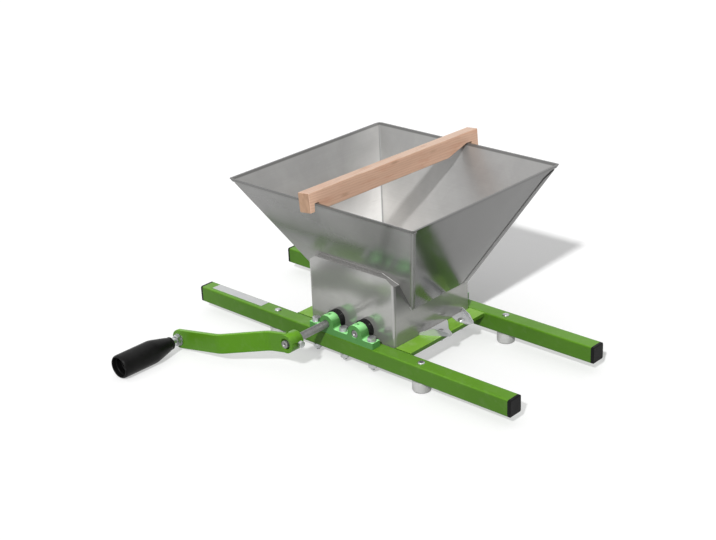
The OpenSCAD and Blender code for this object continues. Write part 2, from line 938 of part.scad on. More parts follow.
grip_floor = grip_end + grip_bore_len;
module grip_spindle() {
    back = arm_front + arm_t + spindle_washer_t + spindle_back_nut_h;
    color(zinc) at_grip() {
        rod_y(grip_floor - seat_gap - spindle_head_h / 2, back, spindle_d);
        rod_y(grip_floor - seat_gap - spindle_head_h, grip_floor - seat_gap, spindle_head_d);
    }
}

module ring_y(y0, len, d) {
    difference() {
        rod_y(y0, y0 + len, d);
        rod_y(y0 - cut, y0 + len + cut, spindle_d + 2 * fixed_fit);
    }
}

module spindle_nut(y0, len) {
    translate([0, y0 + len, 0]) rotate([90, 0, 0]) difference() {
        hex_prism(spindle_nut_af, len);
        translate([0, 0, -cut]) cylinder(d = spindle_d + 2 * fixed_fit, h = len + 2 * cut, $fn = 48);
    }
}

module spindle_nuts() {
    color(zinc) at_grip() {
        spindle_nut(arm_front - spindle_washer_t - spindle_nut_h, spindle_nut_h);
        spindle_nut(arm_front + arm_t + spindle_washer_t, spindle_back_nut_h);
    }
}

module spindle_washers() {
    color(zinc) at_grip() {
        ring_y(arm_front - spindle_washer_t, spindle_washer_t, spindle_washer_d);
        ring_y(arm_front + arm_t, spindle_washer_t, spindle_washer_d);
        ring_y(grip_start + seat_gap, grip_gap - 2 * seat_gap - spindle_washer_t - spindle_nut_h,
            (spindle_d + spindle_nut_af) / 2);
    }
}

// the grip's outline as (radius, distance from its small end)
module grip_profile() {
    big = grip_d / 2;
    small = grip_small_d / 2;
    difference() {
        union() {
            polygon([[0, 0], [small - grip_small_r, 0], [small, grip_small_r], [big, grip_cone],
                [big, grip_len - grip_rim_r], [0, grip_len - grip_rim_r]]);
            translate([0, grip_len - grip_rim_r - cut]) square([big - grip_rim_r, grip_rim_r + cut]);
            translate([big - grip_rim_r, grip_len - grip_rim_r]) circle(r = grip_rim_r, $fn = 48);
        }
        translate([-cut, -cut]) square([spindle_d / 2 + run_fit + cut, grip_len + 2 * cut]);
        translate([-cut, grip_len - grip_bore_len]) square([big - grip_wall + cut, grip_bore_len + cut]);
    }
}

module grip() {
    color(dark) at_grip() translate([0, grip_start, 0]) rotate([90, 0, 0]) {
        rotate_extrude($fn = 64) grip_profile();
    }
}

module pusher_bar() {
    seat = rim_z + lift_gap;
    top = rim_z + pusher_up;
    low = rim_z - pusher_hook;
    notch = pusher_half - hook_len;
    inner = rim_d / 2 - notch_in;
    over = pusher_half + hook_len;
    near = -inner - bar_shift;
    far = inner - bar_shift;
    side = [[-over, top], [-over, low], [-notch, low], [-notch, seat], [near, seat],
        [near + near_chamfer, low], [far - far_chamfer, low], [far, seat], [notch, seat],
        [notch, low], [over, low], [over, top]];
    color(wood) at_frame() translate([pusher_x, bar_y, 0]) rotate([0, 0, -pusher_yaw]) intersection() {
        along_x(pusher_t) polygon(side);
        translate([0, 0, bar_mid_z]) rotate([end_lean, 0, end_skew]) {
            cube([bar_span, bar_span * cos(end_lean) * cos(end_skew), bar_span], center = true);
        }
    }
}

front_rail();
rear_rail();
rail_end_caps();
left_crossbar();
right_crossbar();
feet();
foot_bolts();
foot_nuts();
blank_label();
front_bearing_block();
rear_bearing_block();
shaft_bushes();
bearing_bolts();
bearing_washers();
bearing_nuts();
shaft_seals();
gear_cover();
gear_wall();
throat_left_wall();
throat_right_wall();
throat_rear_wall();
ear_bolts();
ear_nuts();
hopper_front_sheet();
hopper_rear_sheet();
drive_shaft();
drive_gear();
drive_core();
drive_discs();
driven_shaft();
driven_gear();
driven_core();
driven_discs();
crank_hub();
crank_arm();
crank_set_screw();
grip_spindle();
spindle_nuts();
spindle_washers();
grip();
pusher_bar();
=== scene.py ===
import json
import math

import bmesh
import bpy
from mathutils import Matrix, Vector


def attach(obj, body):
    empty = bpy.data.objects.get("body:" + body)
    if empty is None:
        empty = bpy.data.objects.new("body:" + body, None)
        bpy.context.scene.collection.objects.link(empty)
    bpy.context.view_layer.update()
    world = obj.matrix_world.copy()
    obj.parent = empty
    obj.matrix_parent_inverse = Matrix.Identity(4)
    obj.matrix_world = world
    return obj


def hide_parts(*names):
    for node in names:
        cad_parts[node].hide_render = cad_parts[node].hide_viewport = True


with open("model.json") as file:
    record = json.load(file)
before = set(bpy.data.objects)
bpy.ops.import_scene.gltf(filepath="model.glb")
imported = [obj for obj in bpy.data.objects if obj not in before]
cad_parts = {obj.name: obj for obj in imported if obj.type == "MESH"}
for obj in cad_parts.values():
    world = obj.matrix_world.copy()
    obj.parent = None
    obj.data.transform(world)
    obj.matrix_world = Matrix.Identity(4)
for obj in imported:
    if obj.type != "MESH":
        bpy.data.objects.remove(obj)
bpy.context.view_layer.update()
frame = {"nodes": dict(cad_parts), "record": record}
nodes = frame["nodes"]

# Sizes and places from the source, in millimetres, from the rails' tops and the middle of the frame
FRAME_Y, FLOOR_H = 58.9094, 36.8                # from there to the row frame
RAIL_T, RAIL_IN, RAIL_OUT = 22.0, 73.0, 95.0    # thickness, inner face, outer face
CROSSBAR_IN, CROSSBAR_OUT, CROSSBAR_T = 71.5, 96.0, 5.0
SHEET_T = 1.2
THROAT_Y = 15.5                                 # middle of the hopper and its throat
HOPPER_X, HOPPER_Y = (71.5, 149.0), (54.5, 139.5)   # half widths at the hopper's foot and rim
HOPPER_Z = (39.0, 189.0)
SHAFT_X, SHAFT_Z, SHAFT_R = 24.0, 13.0, 5.0
HUB_R, HUB_FRONT = 12.0, -RAIL_OUT - 72.4
ARM_T, ARM_W, ARM_STEP = 6.0, 25.0, 29.4
ARM_ROOT = HUB_FRONT + 2.0
ARM_FRONT = ARM_ROOT - ARM_STEP
JOG, JOG_RUN = 32.7, 62.3                       # where the arm's slanted part starts, and its run
CRANK_R, GRIP_R, GRIP_LEN = 173.0, 15.5, 86.2
GRIP_START = ARM_FRONT - 13.3
GRIP_GAP = 0.4                                  # between the grip and the floor
CRANK_A = math.asin((SHAFT_Z + FLOOR_H - GRIP_R - GRIP_GAP) / CRANK_R)


def place(x, y, z):
    """A place in the source's millimetres, as metres in the row frame."""
    return Vector((x, y + FRAME_Y, z + FLOOR_H)) / 1000


def at(x, y, z):
    return Matrix.Translation(place(x, y, z))


def turn_z(angle):
    return Matrix.Rotation(angle, 4, "Z")


TO_MM = Matrix.Scale(0.001, 4)                  # for meshes that are built in millimetres
TO_FRONT = Matrix.Rotation(math.pi / 2, 4, "X")     # turns +Z to -Y
CRANK = at(-SHAFT_X, 0, SHAFT_Z) @ Matrix.Rotation(-CRANK_A, 4, "Y") @ TO_MM
GRIP = CRANK @ Matrix.Translation((-CRANK_R, 0, 0))


# Node trees
class Nodes:
    """A cleared node tree with its output node, and short ways to add nodes to it."""

    def __init__(self, owner, output):
        owner.use_nodes = True
        self.tree = owner.node_tree
        self.tree.nodes.clear()
        self.surface = self.node(output).inputs[0]

    def put(self, socket, value):
        if isinstance(value, bpy.types.NodeSocket):
            self.tree.links.new(value, socket)
        else:
            socket.default_value = value

    def node(self, kind, props=None, **values):
        n = self.tree.nodes.new(kind)
        for key, value in (props or {}).items():
            setattr(n, key, value)
        for key, value in values.items():
            self.put(n.inputs[key.replace("_", " ")], value)
        return n

    def math(self, kind, *values):
        n = self.node("ShaderNodeMath", {"operation": kind})
        for socket, value in zip(n.inputs, values):
            self.put(socket, value)
        return n.outputs[0]

    def times(self, first, *others):
        for other in others:
            first = self.math("MULTIPLY", first, other)
        return first

    def remap(self, value, low, high, to_low, to_high, curve="LINEAR"):
        n = self.node("ShaderNodeMapRange", {"clamp": True, "interpolation_type": curve})
        for socket, v in zip(n.inputs, (value, low, high, to_low, to_high)):
            self.put(socket, v)
        return n.outputs[0]

    def mask(self, value, low, high):
        """0 at low, 1 at high and even between them."""
        return self.remap(value, low, high, 0.0, 1.0)

    def background_rays(self):
        """1 for rays that see the white background, also through gloss, and 0 for light on the object."""
        rays = self.node("ShaderNodeLightPath").outputs
        seen = self.math("MAXIMUM", rays["Is Camera Ray"], rays["Is Glossy Ray"])
        return self.math("MAXIMUM", seen, rays["Is Transmission Ray"])


class Shader(Nodes):
    """A material with a Principled shader, laid out in the row frame."""

    def __init__(self, name):
        self.mat = bpy.data.materials.new(name)
        super().__init__(self.mat, "ShaderNodeOutputMaterial")
        self.bsdf = self.node("ShaderNodeBsdfPrincipled")
        self.put(self.surface, self.bsdf.outputs[0])
        self.coord = self.node("ShaderNodeTexCoord").outputs["Object"]

    def set(self, **values):
        for key, value in values.items():
            self.put(self.bsdf.inputs[key.replace("_", " ")], value)

    def axis(self, name, vector=None):
        return self.node("ShaderNodeSeparateXYZ", Vector=vector or self.coord).outputs[name]

    def facing(self, name):
        """How far the surface faces along an axis, from -1 to 1."""
        return self.axis(name, self.node("ShaderNodeNewGeometry").outputs["Normal"])

    def mapped(self, scale, shift=(0, 0, 0), turn=(0, 0, 0)):
        n = self.node("ShaderNodeMapping", Scale=scale, Location=shift, Rotation=turn, Vector=self.coord)
        return n.outputs[0]

    def noise(self, scale, detail, rough, vector=None, distort=0.0):
        n = self.node("ShaderNodeTexNoise", Scale=scale, Detail=detail, Roughness=rough, Distortion=distort,
                      Vector=vector or self.coord)
        return n.outputs["Fac"]

    def ramp(self, fac, stops):
        n = self.tree.nodes.new("ShaderNodeValToRGB")
        elements = n.color_ramp.elements
        while len(elements) < len(stops):
            elements.new(0.5)
        for element, (position, colour) in zip(elements, stops):
            element.position = position
            element.color = (*colour, 1)
        self.put(n.inputs[0], fac)
        return n.outputs[0]

    def mix(self, fac, a, b, blend="MIX"):
        n = self.node("ShaderNodeMix", {"data_type": "RGBA", "blend_type": blend})
        for i, v in ((0, fac), (6, a), (7, b)):
            self.put(n.inputs[i], (*v, 1) if isinstance(v, tuple) else v)
        return n.outputs[2]

    def tint(self, fac, colour, factor):
        """The colour, multiplied by the factor where fac is 1."""
        return self.mix(fac, colour, self.mix(1.0, colour, factor, "MULTIPLY"))

    def bump(self, height, strength, distance, normal=None):
        n = self.node("ShaderNodeBump", Height=height, Strength=strength, Distance=distance)
        if normal is not None:
            self.put(n.inputs["Normal"], normal)
        return n.outputs[0]

    def edges(self, radius, low):
        """1 along sharp outer edges, 0 on flat faces."""
        dot = self.node("ShaderNodeVectorMath", {"operation": "DOT_PRODUCT"})
        self.put(dot.inputs[0], self.node("ShaderNodeBevel", {"samples": 4}, Radius=radius).outputs[0])
        self.put(dot.inputs[1], self.node("ShaderNodeNewGeometry").outputs["Normal"])
        return self.mask(dot.outputs["Value"], 0.97, low)


def scaled(colour, factor, lift=0.0):
    return tuple(min(1.0, c * factor + lift) for c in colour)


def grey(level):
    return (level, level, level)


# Materials
def painted(name, base, light, dark, rough, sky):
    """Gloss paint with orange peel, faint dust and a little wear on its edges. Tops are made lighter by the factors
    in sky: painted light from above.
    """
    s = Shader(name)
    colour = s.mix(s.mask(s.noise(9.0, 3.0, 0.55), 0.35, 0.65), dark, light)
    colour = s.mix(s.remap(s.noise(420.0, 3.0, 0.6), 0.35, 0.65, 0.0, 0.10), colour, base)
    worn = s.times(s.edges(0.0007, 0.82), s.mask(s.noise(160.0, 4.0, 0.7), 0.50, 0.66), 0.55)
    colour = s.mix(worn, colour, scaled(base, 2.2, 0.03))
    dust = s.times(s.mask(s.noise(60.0, 5.0, 0.7), 0.52, 0.75), 0.10)
    colour = s.mix(dust, colour, (0.26, 0.32, 0.20))
    # painted light: faces that look up are made lighter by the factors in sky
    colour = s.tint(s.mask(s.facing("Z"), 0.45, 0.95), colour, sky)
    roughness = s.remap(s.noise(35.0, 4.0, 0.6), 0.3, 0.7, rough - 0.05, rough + 0.09)
    peel = s.bump(s.noise(650.0, 2.0, 0.5), 0.10, 0.0006)
    peel = s.bump(s.noise(90.0, 2.0, 0.5), 0.06, 0.002, peel)
    s.set(Base_Color=colour, Roughness=roughness, Normal=peel, Metallic=0.0, Coat_Weight=0.03,
          Coat_Roughness=0.16, Specular_IOR_Level=0.16)
    return s.mat


def sheet_metal(name):
    """Smooth rolled steel sheet: faint rolling streaks, cloudy smudges and a few scratches, with painted light and
    painted reflection inside and outside, lighter ears and a band of painted shade at the rim.
    """
    s = Shader(name)
    x, y, z = s.axis("X"), s.axis("Y"), s.axis("Z")
    streak = s.noise(1.0, 3.0, 0.65, s.mapped((9, 9, 900)))
    cloud = s.noise(9.0, 5.0, 0.60, s.mapped((1.0, 1.0, 0.7)), 0.6)
    swirl = s.noise(24.0, 5.0, 0.6, None, 1.2)
    tone = s.math("ADD", s.times(streak, 0.14), s.times(cloud, 0.54))
    tone = s.math("ADD", tone, s.times(swirl, 0.32))
    colour = s.ramp(tone, [(0.32, (0.245, 0.243, 0.238)), (0.50, (0.275, 0.273, 0.267)),
                           (0.68, (0.315, 0.313, 0.306))])

    # the hopper's half widths at this height, and where the point lies among its walls
    across = s.math("ABSOLUTE", x)
    mid = s.math("SUBTRACT", y, (FRAME_Y + THROAT_Y) / 1000)
    rise = s.mask(z, (FLOOR_H + HOPPER_Z[0]) / 1000, (FLOOR_H + HOPPER_Z[1]) / 1000)
    half_x, half_y = (s.math("MULTIPLY_ADD", rise, (rim - foot) / 1000, foot / 1000)
                      for foot, rim in (HOPPER_X, HOPPER_Y))
    inside = s.times(s.mask(s.facing("Z"), 0.10, 0.35),
                     s.math("GREATER_THAN", s.math("ADD", mid, half_y), -0.0005))
    on_left_wall = s.mask(s.facing("X"), 0.3, 0.6)

    # inside, all painted light and painted reflection: lighter further down, evenly grey on the right of the rear
    # wall, and bright on the left wall near the rear corner and low down
    bright = s.mix(s.mask(z, 0.205, 0.125), grey(1.13), (1.75, 1.72, 1.70))
    right_part = s.times(s.mask(s.facing("Y"), -0.3, -0.6), s.mask(x, -0.065, 0.030))
    bright = s.mix(right_part, bright, (1.18, 1.18, 1.19))
    corner = s.times(s.mask(s.math("SUBTRACT", half_y, mid), 0.075, 0.005), on_left_wall,
                     s.remap(z, 0.120, 0.165, 0.15, 1.0))
    bright = s.tint(corner, bright, grey(1.55))
    low_left = s.times(on_left_wall, s.mask(z, 0.165, 0.12))
    bright = s.tint(low_left, bright, (1.85, 1.88, 1.90))

    # outside: painted light, shade and reflection as levels by height, with others on the left and right sides
    height = s.mask(z, 0.02, 0.23)
    outer = s.ramp(height, [(0.0, (1.30, 1.30, 1.28)), (0.22, (1.42, 1.42, 1.40)), (0.40, grey(1.50)),
                            (0.56, grey(1.42)), (0.69, grey(0.70)), (0.95, grey(0.80))])
    sides = s.ramp(height, [(0.0, (1.12, 1.12, 1.10)), (0.25, (1.20, 1.20, 1.18)), (0.33, grey(0.66)),
                            (0.48, grey(0.48)), (0.62, grey(0.43)), (0.95, grey(0.46))])
    outer = s.mix(s.mask(s.math("ABSOLUTE", s.facing("X")), 0.5, 0.8), outer, sides)
    colour = s.mix(1.0, colour, s.mix(inside, outer, bright), "MULTIPLY")
    # painted light: the ears' flat tops at the throat's foot are made lighter
    ear = s.times(s.mask(across, 0.0719, 0.0729), s.mask(z, 0.056, 0.050))
    colour = s.tint(ear, colour, (1.45, 1.50, 1.58))

    # the two lapped corners: matt grey along the seam, so no bright line shows where the sheets' edges meet
    off_x = s.math("ABSOLUTE", s.math("SUBTRACT", across, half_x))
    off_y = s.math("ABSOLUTE", s.math("SUBTRACT", s.math("ABSOLUTE", mid), half_y))
    seam = s.times(s.mask(s.math("MAXIMUM", off_x, off_y), 0.0034, 0.0022),
                   s.math("LESS_THAN", s.times(x, mid), 0.0), s.mask(z, 0.074, 0.076))
    colour = s.mix(seam, colour, (0.30, 0.30, 0.295))

    # a dark band of painted shade under the rolled rim, a little wider inside, and the scratches
    hem = s.math("ADD", z, s.remap(inside, 0.0, 1.0, 0.0011, 0.0))
    colour = s.mix(s.remap(hem, 0.2228, 0.2236, 0.0, 0.62), colour, (0.050, 0.050, 0.048))
    scratch = s.noise(1.0, 2.0, 0.5, s.mapped((260, 40, 120), turn=(0.4, 0.8, 0.3)))
    colour = s.mix(s.times(s.mask(scratch, 0.72, 0.76), 0.12), colour, (0.45, 0.45, 0.44))

    roughness = s.math("MAXIMUM", s.remap(tone, 0.35, 0.65, 0.20, 0.11), s.times(seam, 0.7))
    roughness = s.math("MAXIMUM", roughness, s.times(inside, 0.30))
    duller = s.times(s.math("MAXIMUM", low_left, corner), inside, 0.40)
    metallic = s.times(s.remap(seam, 0.0, 1.0, 1.0, 0.0),
                       s.math("SUBTRACT", s.remap(inside, 0.0, 1.0, 0.58, 0.50), duller))
    normal = s.bump(streak, 0.03, 0.0002)
    normal = s.bump(s.noise(5.0, 2.0, 0.5), 0.06, 0.010, normal)
    s.set(Base_Color=colour, Roughness=roughness, Normal=normal, Metallic=metallic)
    return s.mat


def bright_metal(name, base, rough, scale=1.0):
    """Plated or cast metal with fine marks and slight tarnish."""
    s = Shader(name)
    cloud = s.noise(150.0 * scale, 4.0, 0.6)
    fine = s.noise(900.0 * scale, 3.0, 0.6)
    colour = s.mix(s.mask(cloud, 0.35, 0.65), scaled(base, 0.72), base)
    colour = s.mix(s.remap(fine, 0.4, 0.7, 0.0, 0.25), colour, scaled(base, 0.6))
    colour = s.mix(s.times(s.edges(0.0003, 0.80), 0.7), colour, scaled(base, 1.3, 0.08))
    roughness = s.remap(cloud, 0.3, 0.7, rough + 0.12, rough - 0.06)
    s.set(Base_Color=colour, Roughness=roughness, Normal=s.bump(fine, 0.15, 0.0002), Metallic=1.0)
    return s.mat


def turned_metal(name, base, rough):
    """A shaft ground across its length, so its marks run round it."""
    s = Shader(name)
    rings = s.noise(1.0, 3.0, 0.7, s.mapped((30, 1600, 30)))
    cloud = s.noise(70.0, 4.0, 0.6)
    colour = s.mix(s.mask(rings, 0.3, 0.7), scaled(base, 0.66), base)
    colour = s.mix(s.remap(cloud, 0.5, 0.75, 0.0, 0.4), colour, (0.20, 0.19, 0.17))
    roughness = s.remap(cloud, 0.3, 0.7, rough - 0.04, rough + 0.14)
    s.set(Base_Color=colour, Roughness=roughness, Normal=s.bump(rings, 0.25, 0.0002), Metallic=1.0)
    return s.mat


def moulded(name, base, rough, grain, spec, wear=0.4, relief=0.18):
    """Moulded plastic or rubber: faint grain, rub marks and dust. A low relief gives an even gloss."""
    s = Shader(name)
    cloud = s.noise(45.0, 4.0, 0.6)
    fine = s.noise(grain, 3.0, 0.6)
    colour = s.mix(s.mask(cloud, 0.35, 0.7), base, scaled(base, 1.35, 0.004))
    colour = s.mix(s.times(s.edges(0.0006, 0.80), wear), colour, scaled(base, 1.8, 0.02))
    rub = s.noise(1.0, 3.0, 0.6, s.mapped((90, 25, 90)))
    uneven = relief / 0.18
    roughness = s.remap(rub, 0.3, 0.7, rough + 0.10 * uneven, rough - 0.06 * uneven)
    s.set(Base_Color=colour, Roughness=roughness, Normal=s.bump(fine, relief, 0.0004), Specular_IOR_Level=spec)
    return s.mat


def pine(name):
    """Planed pine: growth rings about an axis along the bar, small knots, pores and fibres. The side facing +X is
    painted lighter, as painted light.
    """
    ring_x, ring_z, rings_per_metre = -0.062, 0.165, 420.0
    s = Shader(name)
    wander = s.noise(3.0, 3.0, 0.5, s.mapped((4, 1.4, 4)))
    x, z = s.math("SUBTRACT", s.axis("X"), ring_x), s.math("SUBTRACT", s.axis("Z"), ring_z)
    r = s.math("SQRT", s.math("ADD", s.times(x, x), s.times(z, z)))
    r = s.math("ADD", r, s.times(wander, 0.012))
    ring = s.math("FRACT", s.times(r, rings_per_metre))
    colour = s.ramp(ring, [(0.0, (0.58, 0.405, 0.305)), (0.10, (0.65, 0.475, 0.375)), (0.62, (0.62, 0.44, 0.34)),
                           (0.90, (0.555, 0.37, 0.268)), (1.0, (0.57, 0.385, 0.285))])
    knot = s.node("ShaderNodeTexVoronoi", Scale=1.0, Randomness=1.0, Vector=s.mapped((95, 24, 95)))
    red = s.noise(1.0, 3.0, 0.6, s.mapped((130, 20, 130), (0.3, 0.7, 0.1)))
    colour = s.mix(s.remap(red, 0.53, 0.66, 0.0, 0.55), colour, (0.52, 0.27, 0.17))
    spot = s.times(s.mask(knot.outputs["Distance"], 0.24, 0.08), 0.55)
    colour = s.mix(spot, colour, (0.30, 0.155, 0.085))
    fibre = s.noise(1.0, 4.0, 0.65, s.mapped((1500, 22, 1500)))
    colour = s.mix(s.remap(fibre, 0.35, 0.65, 0.0, 0.32), colour, (0.78, 0.61, 0.50))
    broad = s.noise(1.0, 3.0, 0.6, s.mapped((60, 5, 60)))
    colour = s.mix(s.remap(broad, 0.40, 0.68, 0.0, 0.35), colour, (0.50, 0.335, 0.25))
    pore = s.noise(1.0, 2.0, 0.5, s.mapped((2600, 60, 2600)))
    colour = s.mix(s.remap(pore, 0.66, 0.72, 0.0, 0.45), colour, (0.34, 0.22, 0.15))
    end_grain = s.ramp(s.noise(1.0, 3.0, 0.6, s.mapped((220, 40, 90))),
                       [(0.35, (0.26, 0.140, 0.074)), (0.65, (0.39, 0.235, 0.142))])
    end = s.remap(s.math("ABSOLUTE", s.facing("Y")), 0.7, 0.9, 0.0, 0.80)
    colour = s.mix(end, colour, end_grain)
    # painted light: the side that faces +X is made lighter
    colour = s.tint(s.mask(s.facing("X"), 0.6, 0.95), colour, (1.24, 1.11, 1.02))
    normal = s.bump(fibre, 0.22, 0.0005)
    normal = s.bump(ring, 0.12, 0.0004, normal)
    s.set(Base_Color=colour, Roughness=s.remap(fibre, 0.3, 0.7, 0.52, 0.72), Normal=normal)
    return s.mat


def paper(name):
    """A blank satin sticker with slight creases and yellowing."""
    s = Shader(name)
    cloud = s.noise(40.0, 4.0, 0.6)
    colour = s.mix(s.mask(cloud, 0.35, 0.7), (0.50, 0.515, 0.52), (0.555, 0.56, 0.555))
    colour = s.mix(s.remap(s.noise(700.0, 3.0, 0.7), 0.66, 0.72, 0.0, 0.35), colour, (0.45, 0.45, 0.44))
    s.set(Base_Color=colour, Roughness=s.remap(cloud, 0.3, 0.7, 0.38, 0.55), Normal=s.bump(cloud, 0.15, 0.0008))
    return s.mat


# The last tuple of each paint makes its tops lighter: painted light from above.
FRAME_GREEN = ((0.058, 0.158, 0.009), (0.064, 0.170, 0.011), (0.052, 0.145, 0.007))     # base, light, dark
GREEN = painted("green_gloss_paint", *FRAME_GREEN, 0.34, (1.95, 1.80, 2.10))
BLOCK = painted("casting_paint", (0.070, 0.225, 0.055), (0.080, 0.250, 0.065), (0.060, 0.200, 0.045), 0.40,
                (5.00, 3.75, 5.90))
# the frame's green with still lighter tops: painted light
CROSSBAR = painted("crossbar_lit_paint", *FRAME_GREEN, 0.34, (3.50, 2.75, 4.00))
# a lighter copy of the frame's green for the arm and hub: painted light
CRANK_LIT_PAINT = painted("crank_lit_gloss_paint", (0.074, 0.208, 0.008), (0.080, 0.222, 0.009), (0.067, 0.192, 0.006),
                      0.34, (2.05, 1.85, 2.60))
SHEET = sheet_metal("satin_sheet_steel")
ZINC = bright_metal("zinc_plate", (0.56, 0.57, 0.58), 0.30)
SHAFT = turned_metal("ground_shaft", (0.33, 0.33, 0.325), 0.48)
BRASS = bright_metal("bush_brass", (0.60, 0.45, 0.20), 0.32)
GEAR = bright_metal("cut_gear_steel", (0.34, 0.34, 0.34), 0.36, 0.6)
ROLLER = bright_metal("cast_aluminium", (0.60, 0.60, 0.61), 0.42, 0.4)
BLACK = moulded("black_grip_plastic", grey(0.0032), 0.37, 1400.0, spec=0.10, wear=0.25, relief=0.03)
CAP = moulded("black_cap_plastic", grey(0.007), 0.42, 1600.0, spec=0.07, wear=0.08)
FOOT = moulded("grey_foot_plastic", (0.39, 0.39, 0.385), 0.48, 1200.0, spec=0.25)
RUBBER = moulded("seal_rubber", grey(0.006), 0.46, 1800.0, spec=0.14)
WOOD = pine("planed_pine")
LABEL = paper("blank_sticker")

SLOT_LOOKS = {
    "green_paint": GREEN, "block_paint": BLOCK, "sheet_steel": SHEET, "zinc_steel": ZINC, "bush_metal": BRASS,
    "gear_metal": GEAR, "roller_metal": ROLLER, "black_plastic": BLACK, "grey_plastic": FOOT, "white_label": LABEL,
    "black_rubber": RUBBER, "bare_wood": WOOD,
}
NODE_LOOKS = {
    "rail_end_caps": CAP, "drive_shaft": SHAFT, "driven_shaft": SHAFT, "left_crossbar": CROSSBAR,
    "right_crossbar": CROSSBAR, "crank_arm": CRANK_LIT_PAINT, "crank_hub": CRANK_LIT_PAINT,
}
for part in frame["record"]["subparts"]:
    look = NODE_LOOKS.get(part["node"], SLOT_LOOKS[part["material_slot"]])
    nodes[part["node"]].material_slots[0].material = look


# Mesh helpers
def add(name, bm, material, body, stands_for=(), smooth=38):
    """Makes a piece of the mesh. Edges sharper than smooth, in degrees, stay sharp."""
    mesh = bpy.data.meshes.new(name)
    bmesh.ops.recalc_face_normals(bm, faces=bm.faces)
    bm.to_mesh(mesh)
    bm.free()
    mesh.materials.append(material)
    mesh.shade_smooth()
    mesh.set_sharp_from_angle(angle=math.radians(smooth))
    obj = bpy.data.objects.new(name, mesh)
    bpy.context.scene.collection.objects.link(obj)
    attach(obj, body)
    if stands_for:
        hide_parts(*stands_for)


def grid(bm, rows, matrix, close_rows=False):
    """Joins rows of points, each a closed ring. The ends are capped, unless the last row meets the first."""
    verts = [[bm.verts.new(matrix @ Vector(p)) for p in row] for row in rows]
    pairs = list(zip(verts, verts[1:]))
    if close_rows:
        pairs.append((verts[-1], verts[0]))
    for a, b in pairs:
        n = len(a)
        for i in range(n):
            bm.faces.new((a[i], a[(i + 1) % n], b[(i + 1) % n], b[i]))
    if not close_rows:
        bm.faces.new(verts[0])
        bm.faces.new(verts[-1])


def circle(r, z, segments):
    turns = (2 * math.pi * i / segments for i in range(segments))
    return [(r * math.cos(a), r * math.sin(a), z) for a in turns]


def lathe(bm, profile, matrix, segments, closed=False):
    """Turns (radius, height) points about Z."""
    grid(bm, [circle(r, z, segments) for r, z in profile], matrix, closed)


def hexagon(bm, flats, height, matrix, bore=0.0, low_chamfer=True):
    """A hexagon with chamfered corners, with a bore for a nut or none for a bolt head."""
    segments, sixth = 72, math.pi / 3
    chamfer_r = flats / 2 * 0.955
    slope = math.tan(math.radians(30))
    angles = [2 * math.pi * i / segments for i in range(segments)]
    radii = [flats / 2 / math.cos((a + sixth / 2) % sixth - sixth / 2) for a in angles]
    drops = [max(0.0, r - chamfer_r) * slope for r in radii]
    walls = list(zip(angles, radii, drops))
    rows = [circle(chamfer_r, 0, segments),
            [(r * math.cos(a), r * math.sin(a), drop if low_chamfer else 0.0) for a, r, drop in walls],
            [(r * math.cos(a), r * math.sin(a), height - drop) for a, r, drop in walls],
            circle(chamfer_r, height, segments)]
    if bore:
        c = 0.5
        inner = [(bore + c, height), (bore, height - c), (bore, c), (bore + c, 0)]
    else:
        inner = [(chamfer_r * 0.6, height), (chamfer_r * 0.2, height)]
    rows += [circle(r, z, segments) for r, z in inner]
    grid(bm, rows, matrix, bool(bore))


def thread(bm, d, z0, z1, pitch, matrix, segments=28):
    """A threaded rod from z0 to z1, with a chamfered far end at z1."""
    depth = 0.58 * pitch
    count = max(4, int(abs(z1 - z0) / (pitch / 6)))
    rows = []
    for k in range(count + 1):
        z = z0 + (z1 - z0) * k / count
        chamfer = 1.0 - min(1.0, abs(z1 - z) / pitch)
        row = []
        for i in range(segments):
            a = 2 * math.pi * i / segments
            wave = abs(2 * ((z / pitch + i / segments) % 1.0) - 1)
            r = d / 2 - depth * max(wave, chamfer)
            row.append((r * math.cos(a), r * math.sin(a), z))
        rows.append(row)
    grid(bm, rows, matrix)


def bead(bm, start, end, radius, up, side, seed):
    """A weld bead from start to end, in metres, lying in the corner between the directions up and side."""
    up, side = Vector(up), Vector(side)
    length = (end - start).length
    step, ripple_length, points, sunk = 0.0006, 0.0021, 8, 0.0004
    count = max(8, int(length / step))
    rows = []
    for k in range(count + 1):
        t = k / count
        ripple = abs(math.sin(length * t / ripple_length * math.pi / 2 + seed))
        r = radius * (0.80 + 0.22 * ripple + 0.06 * math.sin(37 * t + seed * 3))
        r *= min(1.0, 0.45 + 6 * min(t, 1 - t) * length / 0.02)
        centre = start + (end - start) * t
        row = []
        for i in range(points):
            a = math.radians(-25 + 140 * i / (points - 1))
            row.append(centre + side * (r * math.cos(a)) + up * (r * math.sin(a)))
        row.append(centre - side * sunk - up * sunk)
        rows.append(row)
    grid(bm, rows, Matrix.Identity(4))


# Bolts and nuts of the bearing blocks, M6
BOLT_X, BOLT_Y = 47.0, 88.5
BLOCK_T, WASHER_T, NUT_T, TAIL = 8.6, 1.2, 6.0, 3.0
bolts, nuts = bmesh.new(), bmesh.new()
for j, y in enumerate((-BOLT_Y, BOLT_Y)):
    for k, x in enumerate((-BOLT_X, 0.0, BOLT_X)):
        top = at(x, y, BLOCK_T + WASHER_T) @ TO_MM @ turn_z(math.radians(17 * k + 31 * j))
        hexagon(bolts, 10.0, 4.0, top, low_chamfer=False)
        lathe(bolts, [(2.95, 0.4), (2.95, -28.5)], top, 28)
        thread(bolts, 5.9, -28.2, -(BLOCK_T + WASHER_T + RAIL_T + NUT_T + TAIL), 1.0, top)
        under = at(x, y, -RAIL_T - NUT_T) @ TO_MM @ turn_z(math.radians(11 * k + 5))
        hexagon(nuts, 10.0, NUT_T, under, bore=3.02)
add("bearing_bolts_fine", bolts, ZINC, "frame", ["bearing_bolts"])
add("bearing_nuts_fine", nuts, ZINC, "frame", ["bearing_nuts"])

